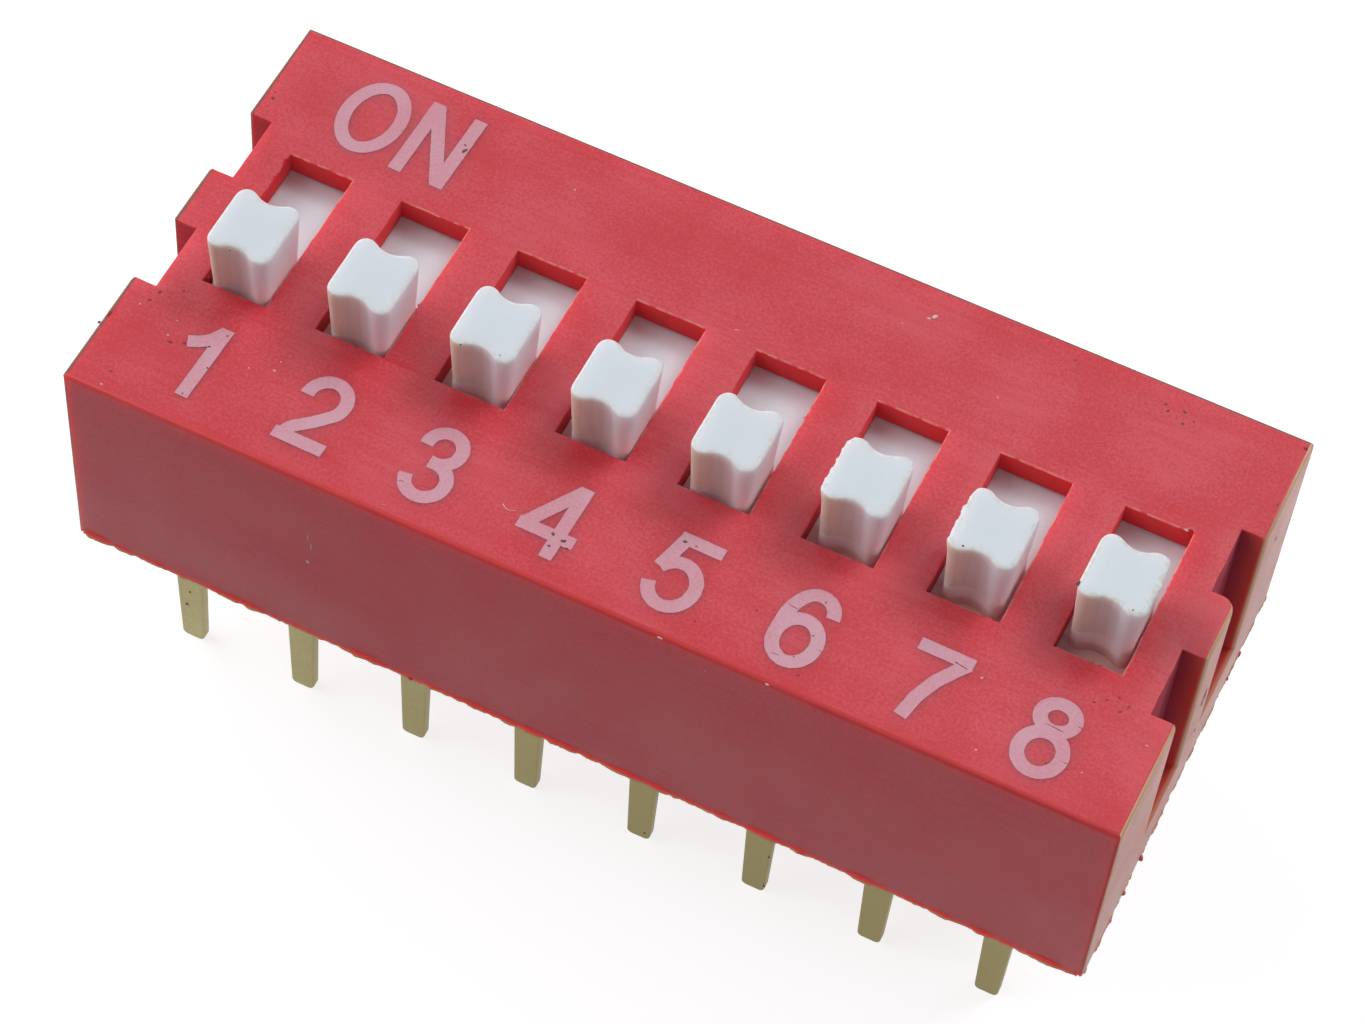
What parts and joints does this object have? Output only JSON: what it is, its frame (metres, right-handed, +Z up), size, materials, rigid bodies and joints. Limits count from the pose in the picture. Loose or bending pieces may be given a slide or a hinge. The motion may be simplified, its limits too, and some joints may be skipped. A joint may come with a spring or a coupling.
{
  "type": "slide dip switch",
  "caption": "Row of small slide switches in a flat red housing with raised white knobs and two rows of straight solder pins.",
  "frame": {"origin": "middle of the pin pattern, on the underside that rests on the board", "axes": "+X along the row from switch 1 to the last switch, +Y from the OFF side to the ON side, +Z up out of the knobs' side"},
  "size_m": [0.0216, 0.0098, 0.0104],
  "materials": {
    "red_plastic": "satin moulded",
    "red_base": "satin moulded",
    "white_plastic": "satin moulded",
    "spring_bronze": "rolled spring strip",
    "gold_plate": "thin gold plate, matte",
    "resin": "cured resin"
  },
  "bodies": {
    "housing": {"cover": "red_plastic", "base": "red_base", "seal_front": "resin", "seal_rear": "resin", "terminal_1": "gold_plate", "terminal_2": "gold_plate", "terminal_3": "gold_plate", "terminal_4": "gold_plate", "terminal_5": "gold_plate", "terminal_6": "gold_plate", "terminal_7": "gold_plate", "terminal_8": "gold_plate", "terminal_9": "gold_plate", "terminal_10": "gold_plate", "terminal_11": "gold_plate", "terminal_12": "gold_plate", "terminal_13": "gold_plate", "terminal_14": "gold_plate", "terminal_15": "gold_plate", "terminal_16": "gold_plate"},
    "switch_1": {"slider_1": "white_plastic", "contact_1": "spring_bronze"},
    "switch_2": {"slider_2": "white_plastic", "contact_2": "spring_bronze"},
    "switch_3": {"slider_3": "white_plastic", "contact_3": "spring_bronze"},
    "switch_4": {"slider_4": "white_plastic", "contact_4": "spring_bronze"},
    "switch_5": {"slider_5": "white_plastic", "contact_5": "spring_bronze"},
    "switch_6": {"slider_6": "white_plastic", "contact_6": "spring_bronze"},
    "switch_7": {"slider_7": "white_plastic", "contact_7": "spring_bronze"},
    "switch_8": {"slider_8": "white_plastic", "contact_8": "spring_bronze"}
  },
  "joints": [
    {"name": "slide_1", "type": "slide", "parent": "housing", "child": "switch_1", "axis": [0, 1, 0], "range_m": [0, 0.00203]},
    {"name": "slide_2", "type": "slide", "parent": "housing", "child": "switch_2", "axis": [0, 1, 0], "range_m": [-0.00003, 0.002]},
    {"name": "slide_3", "type": "slide", "parent": "housing", "child": "switch_3", "axis": [0, 1, 0], "range_m": [-0.00011, 0.00192]},
    {"name": "slide_4", "type": "slide", "parent": "housing", "child": "switch_4", "axis": [0, 1, 0], "range_m": [-0.00006, 0.00197]},
    {"name": "slide_5", "type": "slide", "parent": "housing", "child": "switch_5", "axis": [0, 1, 0], "range_m": [0, 0.00203]},
    {"name": "slide_6", "type": "slide", "parent": "housing", "child": "switch_6", "axis": [0, 1, 0], "range_m": [-0.00021, 0.00182]},
    {"name": "slide_7", "type": "slide", "parent": "housing", "child": "switch_7", "axis": [0, 1, 0], "range_m": [-0.00026, 0.00177]},
    {"name": "slide_8", "type": "slide", "parent": "housing", "child": "switch_8", "axis": [0, 1, 0], "range_m": [-0.00044, 0.00159]}
  ]
}
